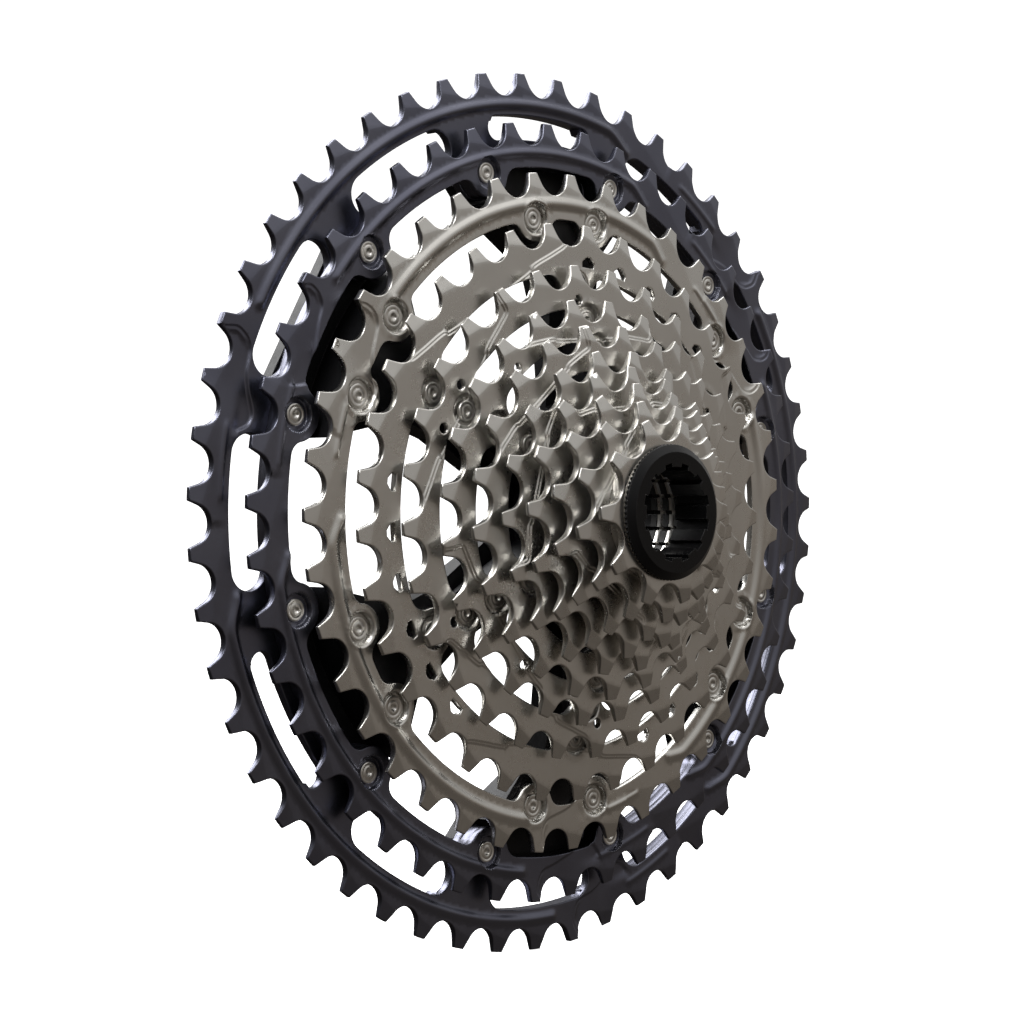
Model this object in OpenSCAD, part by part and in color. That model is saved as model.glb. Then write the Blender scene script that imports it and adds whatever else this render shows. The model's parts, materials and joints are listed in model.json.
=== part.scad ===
// Twelve-speed bicycle cassette: a stack of chain sprockets on a splined bore.
// The rear face of the bore is the origin. The axle runs along Y, +Z is up, and the
// small sprockets and the lock ring face -Y. Units are millimetres.

/* [Chain and teeth] */
// Chain pitch, from roller to roller
chain_pitch = 12.7; // [12.7:0.1:12.7]
// Radius of the seat that a chain roller lies in
seat_r = 4.35; // [4.2:0.05:4.4]
// Height of a tooth above the pitch circle
tooth_addendum = 1.05; // [0.9:0.05:1.1]
// Width of the flat on top of a tooth
tooth_tip_w = 2.8; // [2.2:0.1:3.2]
// Thickness of a tooth
tooth_t = 1.8; // [1.6:0.1:2]
// Axial depth of the bevel on the front of a tooth tip
tip_bevel = 0.5; // [0.2:0.1:0.8]
// Radial height of the bevel on the front of a tooth tip
tip_bevel_h = 2.8; // [1.5:0.1:3.2]

/* [Stack] */
// Front face of the largest sprocket, ahead of the bore's rear face
largest_face = -8.5; // [-9:0.5:-8]
// Spacing of the three largest sprockets
wide_gap = 4.3; // [4.2:0.1:4.4]
// Spacing of all the others
gap = 3.6; // [3.5:0.05:3.7]

/* [Bore] */
// Radius of the bore, on the lands between the spline grooves
bore_r = 14.2; // [14:0.1:14.4]
// Radius of the bore where the lock ring's sleeve reaches, in the front three pieces
front_bore_r = 14.5; // [14.3:0.1:14.6]
// Number of spline grooves
spline_count = 23; // [19:1:23]
// Width of a spline groove
spline_w = 0.9; // [0.7:0.05:0.95]
// Depth of a spline groove
spline_d = 0.9; // [0.5:0.1:1]

/* [Aluminium sprockets] */
// Depth of the stiff ring behind the teeth of the largest sprocket
rim_t = 4.5; // [4:0.1:5]
// Thickness of the inner ring of the largest sprocket
web_t = 2.3; // [2:0.1:2.6]
// Radial place of the slots' outer edge in the largest sprocket
slot_r = 94.2; // [93.8:0.1:94.6]
// Radial place of the wide slots' inner edge
slot_wide_r = 84.9; // [84.5:0.1:85.2]
// Radial place of the narrow slots' inner edge
slot_narrow_r = 88.4; // [88:0.1:88.8]
// Angle from a slot's middle to its end
slot_half_angle = 10.8; // [10:0.1:11.2]
// Radial place of the windows' outer edge in the second sprocket
window_45_r = 81.4; // [81:0.1:81.8]

/* [Rivets] */
// Circle of the rivets of the two largest sprockets
rivet_45_r = 81.4; // [81.2:0.1:81.6]
// Circle of the paired rivets of the third sprocket
rivet_39_r = 69.3; // [69:0.1:69.6]
// Angle from the middle of a pair to each of its rivets
rivet_39_angle = 8.5; // [8:0.1:9]
// Circle of the rivets of the fourth sprocket
rivet_33_r = 53; // [52.5:0.1:53.5]
// Circle of the rivets of the fifth sprocket
rivet_28_r = 45; // [44.8:0.1:45.2]
// Circle of the rivets of the sixth sprocket
rivet_24_r = 38; // [37.8:0.1:38.2]
// Circle of the rivets of the seventh sprocket
rivet_21_r = 30; // [29.5:0.1:30.5]
// Radius of a rivet's shank
shank_r = 1.7; // [1.5:0.1:1.9]
// Radius of a rivet's head
head_r = 2.5; // [2.3:0.1:2.7]
// Thickness of a rivet's head
head_t = 0.7; // [0.6:0.1:0.8]
// Radius of the recess round a rivet's head
recess_r = 3.8; // [3.6:0.1:4.2]

/* [Lock ring] */
// Radius of the lock ring's flange
flange_r = 15.5; // [15:0.1:15.9]
// Thickness of the flange
flange_t = 2.1; // [2.1:0.1:2.6]
// Thickness of the serrated rim at the back of the flange
rim_ring_t = 0.5; // [0.4:0.1:0.5]
// Width of the bevel round the flange's front
flange_bevel = 1.7; // [1.5:0.1:1.8]
// Number of serrations round the flange
serration_count = 84; // [60:1:96]
// Radius of the threaded sleeve
sleeve_r = 12.1; // [12:0.1:12.3]
// Length of the threaded sleeve
sleeve_len = 7.5; // [6:0.5:7.5]
// Pitch of the thread
thread_pitch = 1; // [1:0.1:1]
// Radius of the hole in the lock ring
key_hole_r = 10.3; // [10:0.1:10.5]
// Radius of the bottom of the tool notches
key_notch_r = 11.2; // [11:0.1:11.5]
// Number of tool notches
key_count = 12; // [12:1:12]
// Thickness of the washer under the flange
washer_t = 0.3; // [0.3:0.1:0.6]

/* [Hidden] */
$fn = 96;

// Front faces of the sprockets, from the largest to the smallest
function face(i) = largest_face + wide_gap * min(i, 2) + gap * max(i - 2, 0);
face_51 = face(0);
face_45 = face(1);
face_39 = face(2);
face_33 = face(3);
face_28 = face(4);
face_24 = face(5);
face_21 = face(6);
face_18 = face(7);
face_16 = face(8);
face_14 = face(9);
face_12 = face(10);
face_10 = face(11);

// Each sprocket is clocked so that chain links meet its shift ramps
clock_51 = 1.4;
clock_45 = 2.6;
clock_39 = 5.1;
clock_33 = 9.8;
clock_28 = 3.7;
clock_24 = 9.5;
clock_21 = 14.7;
clock_18 = 2.2;
clock_16 = 21.2;
clock_14 = 16.5;
clock_12 = 10.4;
clock_10 = 0.6;

arm_count = 6;
arm_angle = 30;
spider_colour = [0.07, 0.07, 0.075];
anodised = [0.24, 0.24, 0.27];
steel = [0.60, 0.58, 0.54];
rivet_colour = [0.66, 0.63, 0.58];

function pitch_r(n) = chain_pitch / 2 / sin(180 / n);
function tip_r(n) = pitch_r(n) + tooth_addendum;
function root_r(n) = pitch_r(n) - seat_r;

// Turns the drawing plane so that its z axis points forward, along -Y
module forward() {
    rotate([90, 0, 0])
        children();
}

// ---- Teeth ----

function polar(r, a) = [r * cos(a), r * sin(a)];

// A tooth gap is the arc of a roller seat between the flats of two teeth
seat_steps = 8;
// Half angle of the seat's arc, up to where the straight flank leaves it
function seat_half_arc(n) =
    let (
        a = 180 / n,
        up = tip_r(n) * cos(a) + tooth_tip_w / 2 * sin(a) - pitch_r(n),
        side = tip_r(n) * sin(a) - tooth_tip_w / 2 * cos(a)
    )
        90 - acos(seat_r / sqrt(up * up + side * side)) + atan2(up, side);
function seat_point(n, k, a) =
    polar(pitch_r(n), a) - polar(seat_r, a + seat_half_arc(n) * (1 - 2 * k / seat_steps));
function tip_point(n, side, a) =
    polar(tip_r(n), a + side * asin(tooth_tip_w / 2 / tip_r(n)));

module toothed_outline(n, clock) {
    polygon([
        for (i = [0 : n - 1])
            let (tooth = clock + i * 360 / n, seat = tooth + 180 / n)
                for (k = [-2 : seat_steps])
                    k < 0 ? tip_point(n, 2 * k + 3, tooth) : seat_point(n, k, seat)
    ]);
}

// Cone that bevels the front of the tooth tips; front is the face that it cuts
module tip_cone(n, front) {
    over = 1;
    rotate_extrude()
        polygon([
            [tip_r(n) - tip_bevel_h, front],
            [tip_r(n) + over, front - tip_bevel * (tip_bevel_h + over) / tip_bevel_h],
            [tip_r(n) + over, front + over]
        ]);
}

// ---- Shared shapes ----

// Spline grooves and bore, as the flat shape that is cut from every splined piece
module spline_outline(r = bore_r) {
    circle(r);
    for (i = [0 : spline_count - 1])
        rotate(i * 360 / spline_count)
            translate([0, -spline_w / 2])
                square([bore_r + spline_d, spline_w]);
}

// Flat ring
module ring_outline(outer, inner) {
    difference() {
        circle(outer);
        circle(inner);
    }
}

// Slab between two heights
module slab(bottom, top) {
    translate([0, 0, bottom])
        linear_extrude(top - bottom)
            children();
}

// Copies its children to each place of an evenly spaced circle
module around(count, first) {
    for (i = [0 : count - 1])
        rotate(first + i * 360 / count)
            children();
}

// Rounded raised rib that runs round a sprocket's face
module rib(r, half_w, height, front) {
    curve = (half_w * half_w + height * height) / (2 * height);
    root = 0.6;
    rotate_extrude()
        intersection() {
            translate([r, front + height - curve])
                circle(curve);
            translate([r - half_w, front - root])
                square([2 * half_w, root + height + 1]);
        }
}

// Arcs that would only touch each other cross by this much
crossing = 0.03;

// Slot that follows a circle, with round ends
module arc_slot_outline(outer, inner, half_angle) {
    end_r = (outer - inner) / 2;
    mid = inner + end_r;
    end_angle = half_angle - asin(end_r / mid);
    reach = outer + 10;
    intersection() {
        ring_outline(outer, inner);
        polygon([[0, 0], polar(reach, -end_angle), polar(reach, end_angle)]);
    }
    for (side = [-1, 1])
        rotate(side * end_angle)
            translate([mid, 0])
                circle(end_r + crossing);
}

// Lobe that reaches inward from a ring's inner edge to carry a rivet at radius r,
// with fillets where it leaves the edge
module lobe_outline(edge, r, lobe_r, fillet) {
    hub = edge - fillet;
    reach = lobe_r + fillet;
    half_angle = acos((r * r + hub * hub - reach * reach) / (2 * r * hub));
    translate([r, 0])
        circle(lobe_r);
    difference() {
        polygon([
            [r, 0],
            polar(hub, -half_angle),
            polar(edge + 1, -half_angle),
            polar(edge + 1, half_angle),
            polar(hub, half_angle)
        ]);
        for (side = [-1, 1])
            translate(polar(hub, side * half_angle))
                circle(fillet + crossing);
    }
}

// Shift gate: a shallow pocket in the front face, open to the outside, where the teeth
// are thinner and the chain climbs. Each side runs straight down the teeth and then in
// an S curve towards the pocket's middle.
gate_depth = 0.6;
gate_steps = 8;
function ease(t) = t * t * (3 - 2 * t);
function gate_side(n, outer_a, inner_a, inner_r) = concat(
    [polar(tip_r(n) + 2, outer_a)],
    [for (k = [0 : gate_steps])
        let (t = k / gate_steps)
            polar(
                root_r(n) + (inner_r - root_r(n)) * t,
                outer_a + (inner_a - outer_a) * ease(t)
            )]
);
module gate_cut(n, front, outer, inner, inner_r) {
    low = gate_side(n, outer[0], inner[0], inner_r);
    high = gate_side(n, outer[1], inner[1], inner_r);
    mid_a = (outer[0] + outer[1]) / 2;
    far = (tip_r(n) + 2) / cos((outer[1] - outer[0]) / 2);
    slab(front - gate_depth, front + 2)
        polygon(concat(
            [polar(far, mid_a)],
            low,
            [for (k = [len(high) - 1 : -1 : 0]) high[k]]
        ));
}

// ---- Rivets ----

// A rivet along z, with a flat head on the front and another behind.
// It clamps everything between back and front.
module rivet(front, back) {
    cup_r = 0.9;
    cup_d = 0.5;
    rotate_extrude()
        polygon([
            [0, back - head_t],
            [closed_head_r, back - head_t],
            [closed_head_r, back],
            [shank_r, back],
            [shank_r, front],
            [head_r, front],
            [head_r, front + head_t - 0.2],
            [head_r - 0.2, front + head_t],
            [cup_r, front + head_t],
            [0, front + head_t - cup_d]
        ]);
}

// Places of each set of rivets
module around_pairs() {
    for (side = [-1, 1])
        around(arm_count, arm_angle + side * rivet_39_angle)
            children();
}
module at_rivets_45() {
    around(12, 15)
        translate([rivet_45_r, 0])
            children();
}
module at_rivets_39() {
    around_pairs()
        translate([rivet_39_r, 0])
            children();
}
module at_rivets(r) {
    around(arm_count, arm_angle)
        translate([r, 0])
            children();
}

hole_r = shank_r + 0.02;
closed_head_r = 2.2;
// Floors of the recesses that the front heads sit in
seat_45 = face_45 - 1.5;
seat_39 = face_39 - 1.4;
seat_33 = face_33 - 1;
seat_28 = face_28 - 1;
seat_24 = face_24 - 1;
seat_21 = face_21 - 1;

// Backs of the plates that the spiders carry
back_51 = face_51 - web_t;
back_39 = face_39 - tooth_t;
back_33 = face_33 - tooth_t;
back_28 = face_28 - tooth_t;
back_24 = face_24 - tooth_t;
back_21 = face_21 - tooth_t;

// Backs of the spider flanges that the rear heads bear on
flange_h = 3;
rear_51 = back_51 - flange_h;
rear_39 = back_39 - flange_h;
rear_33 = back_33 - flange_h;
rear_28 = face_33 + 0.1;
rear_24 = back_24 - 2;
rear_21 = back_21 - 2;

module rivets_45() color(rivet_colour) forward()
    at_rivets_45() rivet(seat_45, rear_51);
module rivets_39() color(rivet_colour) forward()
    at_rivets_39() rivet(seat_39, rear_39);
module rivets_33() color(rivet_colour) forward()
    at_rivets(rivet_33_r) rivet(seat_33, rear_33);
module rivets_28() color(rivet_colour) forward()
    at_rivets(rivet_28_r) rivet(seat_28, rear_28);
module rivets_24() color(rivet_colour) forward()
    at_rivets(rivet_24_r) rivet(seat_24, rear_24);
module rivets_21() color(rivet_colour) forward()
    at_rivets(rivet_21_r) rivet(seat_21, rear_21);

// Hole and deep rear counterbore, cut from a spider at a rivet
module rear_cut(floor_z) {
    depth = 40;
    cylinder(h = 60, r = hole_r, center = true);
    translate([0, 0, floor_z - depth])
        cylinder(h = depth, r = closed_head_r + 0.7);
}

// Hole and head recess, cut from a plate at a rivet
module rivet_cut(floor_z, front) {
    cylinder(h = 60, r = hole_r, center = true);
    translate([0, 0, floor_z])
        cylinder(h = front - floor_z + 2, r = recess_r);
}

// ---- Aluminium sprockets ----

module sprocket_51() color(anodised) forward() {
    inner_r = 82;
    rim_outer = 96.4;
    // The rim's back ring is this much wider than the slots' outer edge leaves it
    ledge = 1.2;
    difference() {
        union() {
            slab(back_51, face_51) {
                ring_outline(slot_r + 1, inner_r);
                around(12, 15)
                    lobe_outline(inner_r, rivet_45_r, 6.2, 3);
            }
            slab(face_51 - tooth_t, face_51)
                difference() {
                    toothed_outline(51, clock_51);
                    circle(slot_r);
                }
            slab(face_51 - rim_t, face_51 - tooth_t / 2)
                ring_outline(rim_outer, slot_r - ledge);
            rib(96.6, 1.5, 0.8, face_51);
        }
        slab(face_51 - rim_t - 1, face_51 + 2)
            for (i = [0 : 11])
                rotate(i * 30)
                    arc_slot_outline(
                        slot_r,
                        i % 4 == 3 ? slot_narrow_r : slot_wide_r,
                        slot_half_angle
                    );
        at_rivets_45()
            cylinder(h = 60, r = hole_r, center = true);
        for (a = [37.5, 157.5, 277.5])
            gate_cut(51, face_51, [a, a + 38], [a + 8, a + 32], slot_r - 1);
        tip_cone(51, face_51);
    }
}

module sprocket_45() color(anodised) forward() {
    lobe_r = 6;
    difference() {
        union() {
            slab(face_45 - tooth_t, face_45)
                difference() {
                    toothed_outline(45, clock_45);
                    circle(window_45_r);
                }
            slab(face_51, face_45 - tooth_t)
                ring_outline(86, window_45_r);
            slab(face_51, face_45)
                around(12, 15)
                    lobe_outline(window_45_r, rivet_45_r, lobe_r, 3.5);
            rib(84.6, 1.3, 0.6, face_45);
        }
        at_rivets_45()
            rivet_cut(seat_45, face_45);
        for (a = [27, 147, 267])
            gate_cut(45, face_45, [a, a + 43], [a + 9, a + 38], window_45_r - 1);
        tip_cone(45, face_45);
    }
}

// ---- Steel sprockets ----

module sprocket_39() color(steel) forward() {
    window_r = 68.9;
    lobe_r = 5.6;
    difference() {
        union() {
            slab(back_39, face_39) {
                difference() {
                    toothed_outline(39, clock_39);
                    circle(window_r);
                }
                around_pairs()
                    lobe_outline(window_r, rivet_39_r, lobe_r, 3);
            }
            rib(72.2, 1.4, 0.6, face_39);
        }
        at_rivets_39()
            rivet_cut(seat_39, face_39);
        for (a = [25, 145, 265])
            gate_cut(39, face_39, [a, a + 41], [a + 11, a + 35], window_r - 1);
        tip_cone(39, face_39);
    }
}

// A riveted steel sprocket: a ring with one lobe at each spider arm
module riveted_sprocket(n, clock, front, seat, inner_r, rivets_r, lobe_r) {
    difference() {
        slab(front - tooth_t, front) {
            difference() {
                toothed_outline(n, clock);
                circle(inner_r);
            }
            around(arm_count, arm_angle)
                lobe_outline(inner_r, rivets_r, lobe_r, 4);
        }
        at_rivets(rivets_r)
            rivet_cut(seat, front);
        tip_cone(n, front);
    }
}

// Small windows under the teeth whose numbers are listed, shaped by children at radius r
module under_teeth(n, clock, teeth, r, front) {
    slab(front - tooth_t - 1, front + 1)
        for (i = teeth)
            rotate(clock + i * 360 / n)
                translate([r, 0])
                    children();
}

module house_outline() {
    polygon([[-1.2, -1.9], [0, -2], [1.2, -0.6], [1.2, 0.6], [0, 2], [-1.2, 1.9]]);
}

module sprocket_33() color(steel) forward() {
    difference() {
        riveted_sprocket(33, clock_33, face_33, seat_33, 56, rivet_33_r, 5.4);
        under_teeth(33, clock_33, [3, 4, 5, 6, 7, 15, 16, 17, 18, 19, 20, 26, 27, 28, 29], 59, face_33)
            house_outline();
        for (a = [93, 235, 338])
            gate_cut(33, face_33, [a, a + 55], [a + 17, a + 40], 56);
    }
}
module sprocket_28() color(steel) forward() {
    difference() {
        riveted_sprocket(28, clock_28, face_28, seat_28, 47.6, rivet_28_r, 4.6);
        under_teeth(28, clock_28, [2, 7, 11, 12, 16, 21, 25, 26], 49.6, face_28)
            circle(1.2);
        for (a = [-12, 120, 212])
            gate_cut(28, face_28, [a, a + 58], [a + 9, a + 45], 46.5);
    }
}
module sprocket_24() color(steel) forward() {
    difference() {
        riveted_sprocket(24, clock_24, face_24, seat_24, 40, rivet_24_r, 4.6);
        under_teeth(24, clock_24, [1, 8, 15, 21], 42.2, face_24)
            circle(1.1);
        for (a = [66, 189, 306])
            gate_cut(24, face_24, [a, a + 56], [a + 12, a + 42], 40.5);
    }
}
module sprocket_21() color(steel) forward() {
    difference() {
        riveted_sprocket(21, clock_21, face_21, seat_21, 33.4, rivet_21_r, 4.6);
        for (a = [100, 280])
            gate_cut(21, face_21, [a, a + 60], [a + 14, a + 46], 34.5);
    }
}

// A loose steel sprocket: a plate with its own spline, and a gate that starts at gate_a
module splined_sprocket(n, clock, front, gate_a, r = bore_r) {
    difference() {
        slab(front - tooth_t, front)
            difference() {
                toothed_outline(n, clock);
                spline_outline(r);
            }
        tip_cone(n, front);
        gate_cut(n, front, [gate_a, gate_a + 70], [gate_a + 18, gate_a + 52], root_r(n) - 4);
    }
}

module sprocket_18() color(steel) forward() splined_sprocket(18, clock_18, face_18, 130);
module sprocket_16() color(steel) forward() splined_sprocket(16, clock_16, face_16, 60);
module sprocket_14() color(steel) forward() splined_sprocket(14, clock_14, face_14, 200);
module sprocket_12() color(steel) forward() splined_sprocket(12, clock_12, face_12, 110, front_bore_r);

// The smallest sprocket is a plain plate on a collar that reaches the next one
module sprocket_10() color(steel) forward() {
    collar_r = 16.2;
    difference() {
        union() {
            slab(face_10 - tooth_t, face_10)
                toothed_outline(10, clock_10);
            slab(face_12, face_10 - tooth_t)
                circle(collar_r);
        }
        slab(face_12 - 1, face_10 + 1)
            spline_outline(front_bore_r);
        tip_cone(10, face_10);
    }
}

// ---- Spacers ----

module spacer(back, front, r = bore_r) {
    slab(back, front)
        difference() {
            circle(17.6);
            spline_outline(r);
        }
}
module spacer_21_18() color(spider_colour) forward() spacer(face_21, face_18 - tooth_t);
module spacer_18_16() color(spider_colour) forward() spacer(face_18, face_16 - tooth_t);
module spacer_16_14() color(spider_colour) forward() spacer(face_16, face_14 - tooth_t);
module spacer_14_12() color(spider_colour) forward() spacer(face_14, face_12 - tooth_t, front_bore_r);

// ---- Spiders ----

large_hub_front = 4.5;
hub_r = 24;
// Thickness left at the bottom of the pockets behind the arms
pocket_web = 2.5;

// Plan of one arm of the large spider: a stem that spreads to two rivet pads
module large_arm_outline() {
    pad = 6;
    pad_x = rivet_45_r * cos(15);
    pad_y = rivet_45_r * sin(15);
    for (side = [-1, 1])
        translate([pad_x, side * pad_y])
            circle(pad);
    polygon([
        [hub_r - 4, -9],
        [46, -7.5],
        [56, -9],
        [pad_x - 3, -pad_y - pad + 0.6],
        [pad_x + pad, -pad_y],
        [pad_x + pad, pad_y],
        [pad_x - 3, pad_y + pad - 0.6],
        [56, 9],
        [46, 7.5],
        [hub_r - 4, 9]
    ]);
}

// The large spider, limited to the plan given as its child
module large_spider_form() {
    difference() {
        intersection() {
            rotate_extrude()
                polygon([
                    [bore_r - 2, 0],
                    [26, 0],
                    [30, -1.5],
                    [58, rear_33 - 5],
                    [74.4, rear_51],
                    [90, rear_51],
                    [90, back_51],
                    [74.4, back_51],
                    [74.4, back_39],
                    [58.4, back_39],
                    [58.4, back_33],
                    [hub_r + 2, back_33],
                    [hub_r, large_hub_front],
                    [bore_r - 2, large_hub_front]
                ]);
            slab(-30, 20)
                children();
        }
        slab(-40, 30)
            spline_outline();
        at_rivets_45()
            cylinder(h = 60, r = hole_r, center = true);
        at_rivets_39()
            rear_cut(rear_39);
        at_rivets(rivet_33_r)
            rear_cut(rear_33);
        around(arm_count, arm_angle) {
            slab(-30, back_39 - pocket_web)
                polygon([[61, -4], [72.8, -7.4], [72.8, 7.4], [61, 4]]);
            slab(-30, back_33 - pocket_web)
                polygon([[30, -4.8], [47, -3.6], [47, 3.6], [30, 4.8]]);
        }
    }
}

module large_spider_hub() color(spider_colour) forward()
    large_spider_form()
        circle(hub_r + 1);

module large_spider_arms() color(spider_colour) forward()
    large_spider_form()
        difference() {
            around(arm_count, arm_angle)
                large_arm_outline();
            circle(hub_r + 1);
        }

small_hub_r = 21;

// Plan of one arm of the small spider
module small_arm_outline() {
    pad = 5.1;
    translate([rivet_28_r, 0])
        circle(pad);
    translate([10, -pad])
        square([rivet_28_r - 10, 2 * pad]);
}

// The small spider, limited to the plan given as its child
module small_spider_form() {
    step_24 = 40.2;
    step_21 = 33.2;
    difference() {
        intersection() {
            rotate_extrude()
                polygon([
                    [bore_r - 2, large_hub_front],
                    [hub_r + 1, large_hub_front],
                    [rivet_28_r - 4, rear_28],
                    [52, rear_28],
                    [52, back_28],
                    [step_24, back_28],
                    [step_24, back_24],
                    [step_21, back_24],
                    [step_21, back_21],
                    [small_hub_r, back_21],
                    [small_hub_r, face_21],
                    [bore_r - 2, face_21]
                ]);
            slab(-10, 40)
                children();
        }
        slab(-40, 40)
            spline_outline();
        at_rivets(rivet_28_r)
            cylinder(h = 60, r = hole_r, center = true);
        at_rivets(rivet_24_r)
            rear_cut(rear_24);
        at_rivets(rivet_21_r)
            rear_cut(rear_21);
    }
}

module small_spider_hub() color(spider_colour) forward()
    small_spider_form()
        circle(small_hub_r + 1);

module small_spider_arms() color(spider_colour) forward()
    small_spider_form()
        difference() {
            around(arm_count, arm_angle)
                small_arm_outline();
            circle(small_hub_r + 1);
        }

// ---- Lock ring ----

module lock_ring_washer() color(rivet_colour) forward()
    slab(face_10, face_10 + washer_t)
        ring_outline(flange_r - 0.3, sleeve_r + 0.15);

module lock_ring() color(spider_colour) forward() {
    back = face_10 + washer_t;
    front = back + flange_t;
    serration_d = 0.35;
    groove_d = 0.5;
    thread_d = 0.4;
    thread_first = 1.5;
    thread_turns = floor((sleeve_len - thread_first) / thread_pitch);
    difference() {
        union() {
            slab(back, back + rim_ring_t)
                polygon([
                    for (i = [0 : 2 * serration_count - 1])
                        polar(flange_r - serration_d * (i % 2), i * 180 / serration_count)
                ]);
            rotate_extrude()
                polygon(concat(
                    [[0, back - sleeve_len]],
                    [for (i = [0 : thread_turns - 1], half = [0, 1])
                        [sleeve_r - thread_d * (1 - half), back - sleeve_len + (i + half / 2) * thread_pitch]],
                    [
                        [sleeve_r - thread_d, back - thread_first],
                        [sleeve_r - thread_d, back],
                        [flange_r - groove_d, back],
                        [flange_r - groove_d, back + rim_ring_t],
                        [flange_r - 0.1, back + rim_ring_t + 0.2],
                        [flange_r - 0.1, front - 0.75 * flange_bevel],
                        [flange_r - 0.1 - flange_bevel, front],
                        [0, front]
                    ]
                ));
        }
        slab(0, 60) {
            circle(key_hole_r);
            around(key_count, 15)
                translate([0, -1.2])
                    square([key_notch_r, 2.4]);
        }
    }
}

large_spider_hub();
large_spider_arms();
small_spider_hub();
small_spider_arms();
sprocket_51();
sprocket_45();
sprocket_39();
sprocket_33();
sprocket_28();
sprocket_24();
sprocket_21();
sprocket_18();
sprocket_16();
sprocket_14();
sprocket_12();
sprocket_10();
rivets_45();
rivets_39();
rivets_33();
rivets_28();
rivets_24();
rivets_21();
spacer_21_18();
spacer_18_16();
spacer_16_14();
spacer_14_12();
lock_ring_washer();
lock_ring();
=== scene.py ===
import json
import math

import bmesh
import bpy
import numpy as np
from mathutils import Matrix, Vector
from mathutils.geometry import delaunay_2d_cdt
from mathutils.kdtree import KDTree


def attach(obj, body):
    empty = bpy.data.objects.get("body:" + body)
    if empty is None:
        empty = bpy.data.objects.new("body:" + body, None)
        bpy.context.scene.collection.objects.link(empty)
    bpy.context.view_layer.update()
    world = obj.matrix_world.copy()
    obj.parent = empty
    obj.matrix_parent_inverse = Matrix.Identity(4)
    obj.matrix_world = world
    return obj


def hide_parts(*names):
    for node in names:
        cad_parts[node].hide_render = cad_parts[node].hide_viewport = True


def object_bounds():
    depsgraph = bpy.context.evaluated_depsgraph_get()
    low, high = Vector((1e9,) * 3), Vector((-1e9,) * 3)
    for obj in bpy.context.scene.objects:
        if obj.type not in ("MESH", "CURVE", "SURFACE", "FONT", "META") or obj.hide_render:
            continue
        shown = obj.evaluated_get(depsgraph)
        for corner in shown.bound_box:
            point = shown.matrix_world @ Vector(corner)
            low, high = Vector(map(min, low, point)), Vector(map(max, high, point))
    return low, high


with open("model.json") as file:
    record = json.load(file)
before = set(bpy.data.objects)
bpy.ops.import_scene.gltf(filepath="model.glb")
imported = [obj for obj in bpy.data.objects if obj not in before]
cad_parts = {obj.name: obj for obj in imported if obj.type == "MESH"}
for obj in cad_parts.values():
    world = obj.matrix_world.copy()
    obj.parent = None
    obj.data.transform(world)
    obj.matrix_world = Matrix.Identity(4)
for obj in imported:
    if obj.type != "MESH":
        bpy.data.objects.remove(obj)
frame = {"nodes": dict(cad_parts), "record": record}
cad_low, cad_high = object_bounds()
nodes = frame["nodes"]

# ---- Materials ----


def mix_colours(tree, factor, a, b):
    """Mix of two colours, each given as a tuple or as another node's output."""
    node = tree.nodes.new("ShaderNodeMix")
    node.data_type = "RGBA"
    tree.links.new(factor, node.inputs["Factor"])
    for value, socket in ((a, node.inputs["A"]), (b, node.inputs["B"])):
        if isinstance(value, tuple):
            socket.default_value = (*value, 1)
        else:
            tree.links.new(value, socket)
    return node.outputs["Result"]


class Shader:
    """A node material under construction, around one Principled BSDF."""

    def __init__(self, name):
        self.material = bpy.data.materials.new(name)
        self.material.use_nodes = True
        self.tree = self.material.node_tree
        self.tree.nodes.clear()
        out = self.add("ShaderNodeOutputMaterial")
        self.bsdf = self.add("ShaderNodeBsdfPrincipled")
        self.link(self.bsdf.outputs["BSDF"], out.inputs["Surface"])
        self.coords = self.add("ShaderNodeTexCoord").outputs["Object"]

    def add(self, kind):
        return self.tree.nodes.new(kind)

    def link(self, a, b):
        self.tree.links.new(a, b)

    def noise(self, scale, detail=3.0, stretch=None):
        node = self.add("ShaderNodeTexNoise")
        node.inputs["Scale"].default_value = scale
        node.inputs["Detail"].default_value = detail
        source = self.coords
        if stretch:
            mapping = self.add("ShaderNodeMapping")
            mapping.inputs["Scale"].default_value = stretch
            self.link(source, mapping.inputs["Vector"])
            source = mapping.outputs["Vector"]
        self.link(source, node.inputs["Vector"])
        return node.outputs["Fac"]

    def range(self, value, low, high, to_low, to_high):
        node = self.add("ShaderNodeMapRange")
        node.inputs["From Min"].default_value = low
        node.inputs["From Max"].default_value = high
        node.inputs["To Min"].default_value = to_low
        node.inputs["To Max"].default_value = to_high
        self.link(value, node.inputs["Value"])
        return node.outputs["Result"]

    def mix(self, factor, a, b):
        return mix_colours(self.tree, factor, a, b)

    def edges(self, radius):
        """(rounded normal, how close the surface is to a sharp edge from 0 to 1)"""
        bevel = self.add("ShaderNodeBevel")
        bevel.samples = 4
        bevel.inputs["Radius"].default_value = radius
        flat = self.add("ShaderNodeNewGeometry").outputs["Normal"]
        dot = self.add("ShaderNodeVectorMath")
        dot.operation = "DOT_PRODUCT"
        self.link(bevel.outputs["Normal"], dot.inputs[0])
        self.link(flat, dot.inputs[1])
        return bevel.outputs["Normal"], self.range(dot.outputs["Value"], 1.0, 0.86, 0.0, 1.0)

    def bump(self, height, distance, normal=None):
        node = self.add("ShaderNodeBump")
        node.inputs["Distance"].default_value = distance
        self.link(height, node.inputs["Height"])
        if normal:
            self.link(normal, node.inputs["Normal"])
        self.link(node.outputs["Normal"], self.bsdf.inputs["Normal"])


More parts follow.
